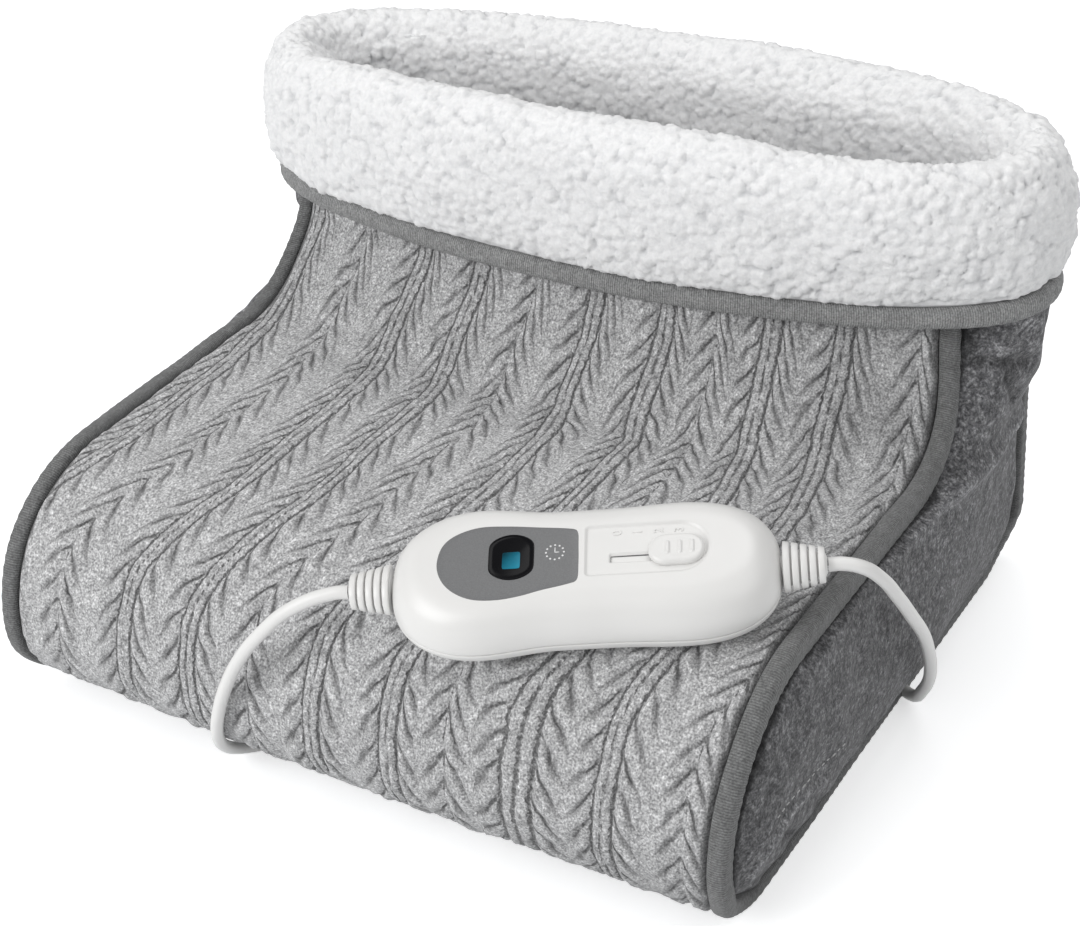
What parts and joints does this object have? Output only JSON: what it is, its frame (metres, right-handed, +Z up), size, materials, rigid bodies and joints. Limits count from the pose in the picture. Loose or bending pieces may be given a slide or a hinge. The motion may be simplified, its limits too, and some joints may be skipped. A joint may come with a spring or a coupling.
{
  "type": "electric foot warmer",
  "caption": "Padded knitted boot for both feet with a turned-down pile cuff, a heated sole, and a hand control with a sliding knob on its mains cord.",
  "frame": {"origin": "on the floor, under the middle of the boot without its cords", "axes": "+X across the boot towards the end with the hand control, +Y from the toe to the heel, +Z up"},
  "size_m": [0.36, 0.423, 0.2192],
  "materials": {
    "knit": "light grey cable knit",
    "side_fleece": "dark grey brushed fleece",
    "tape": "grey woven binding tape",
    "sherpa": "white curly pile",
    "wadding": "polyester wadding",
    "felt": "thin needle felt",
    "heater": "insulated heating wire",
    "cutout": "bare can",
    "white_plastic": "moulded, satin",
    "cord_white": "flexible sheath",
    "label_grey": "printed film",
    "window_black": "polished",
    "board": "lacquered board",
    "component": "moulded",
    "steel": "zinc plated",
    "brass": "plated pins"
  },
  "bodies": {
    "root": {"vamp_panel": "knit", "back_panel": "knit", "sole_panel": "side_fleece", "side_panel_left": "side_fleece", "side_panel_right": "side_fleece", "side_binding_left": "tape", "side_binding_right": "tape", "cuff": "sherpa", "cuff_binding": "tape", "vamp_lining": "sherpa", "back_lining": "sherpa", "sole_lining": "sherpa", "side_lining_left": "sherpa", "side_lining_right": "sherpa", "vamp_wadding": "wadding", "back_wadding": "wadding", "side_wadding_left": "wadding", "side_wadding_right": "wadding", "heater_carrier": "felt", "heater_wire": "heater", "thermostat": "cutout", "thermal_fuse": "cutout", "heater_junction": "white_plastic", "inlet_grommet": "white_plastic", "heater_lead": "cord_white", "mains_cord": "cord_white", "mains_coil": "cord_white", "coil_tie": "cord_white", "plug_tail": "cord_white", "plug_relief": "cord_white", "plug_body": "cord_white", "plug_pin_1": "brass", "plug_pin_2": "brass", "control_cover": "white_plastic", "control_base": "white_plastic", "control_label": "label_grey", "display_lens": "window_black", "display_module": "component", "switch_body": "component", "circuit_board": "board", "triac": "component", "capacitor": "component", "power_fuse": "cutout", "case_screw_left_front": "steel", "case_screw_left_back": "steel", "case_screw_right_front": "steel", "case_screw_right_back": "steel", "lead_relief": "white_plastic", "mains_relief": "white_plastic"},
    "knob": {"slide_knob": "white_plastic", "slide_contact": "component"}
  },
  "joints": [
    {"name": "knob_slide", "type": "slide", "parent": "root", "child": "knob", "axis": [-0.895, -0.4365, -0.0924], "range_m": [0, 0.021]}
  ]
}
